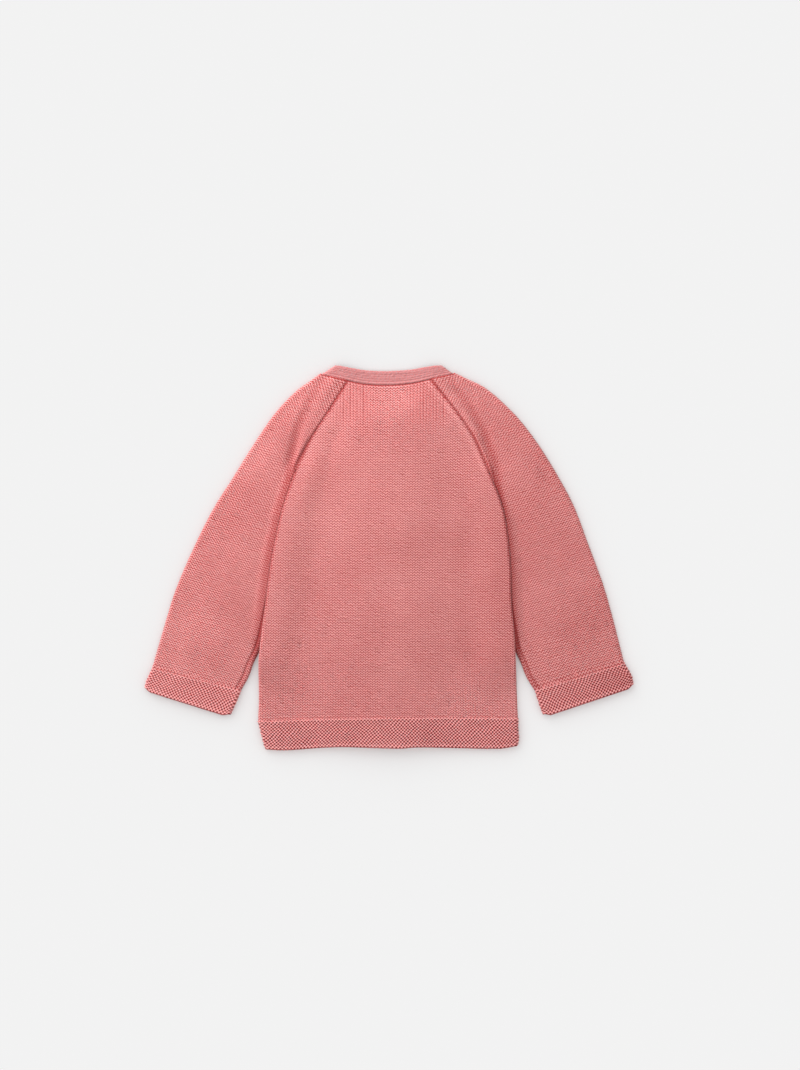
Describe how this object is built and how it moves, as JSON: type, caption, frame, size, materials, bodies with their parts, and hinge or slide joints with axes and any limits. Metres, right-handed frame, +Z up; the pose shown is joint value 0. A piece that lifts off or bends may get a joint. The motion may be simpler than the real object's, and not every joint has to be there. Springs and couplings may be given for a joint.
{
  "type": "baby cardigan",
  "caption": "Long-sleeved knitted raglan cardigan for a baby, laid flat face down with its sleeves beside it, with garter cuffs and hem, a narrow neckband and a buttoned front.",
  "frame": {"origin": "centre of the laid garment's footprint, on the surface it lies on", "axes": "+X across the garment from the sleeve at the wearer's left to the one at the right, +Y from hem to neck, +Z up, out of the back panel"},
  "size_m": [0.3928, 0.3081, 0.0105],
  "materials": {
    "jersey": "matt coral cotton knitted in stocking stitch",
    "garter": "matt coral cotton knitted in garter stitch",
    "neckband": "matt coral fine-gauge band",
    "button": "pale pink, lightly polished"
  },
  "bodies": {
    "root": {"back": "jersey", "front_left": "jersey", "front_right": "jersey", "sleeve_left": "jersey", "sleeve_right": "jersey", "cuff_left": "garter", "cuff_right": "garter", "hem_back": "garter", "hem_front_left": "garter", "hem_front_right": "garter", "neckband": "neckband", "buttonhole_band": "neckband", "button_band": "neckband", "button_1": "button", "button_2": "button", "button_3": "button", "button_4": "button", "button_5": "button"}
  },
  "joints": []
}
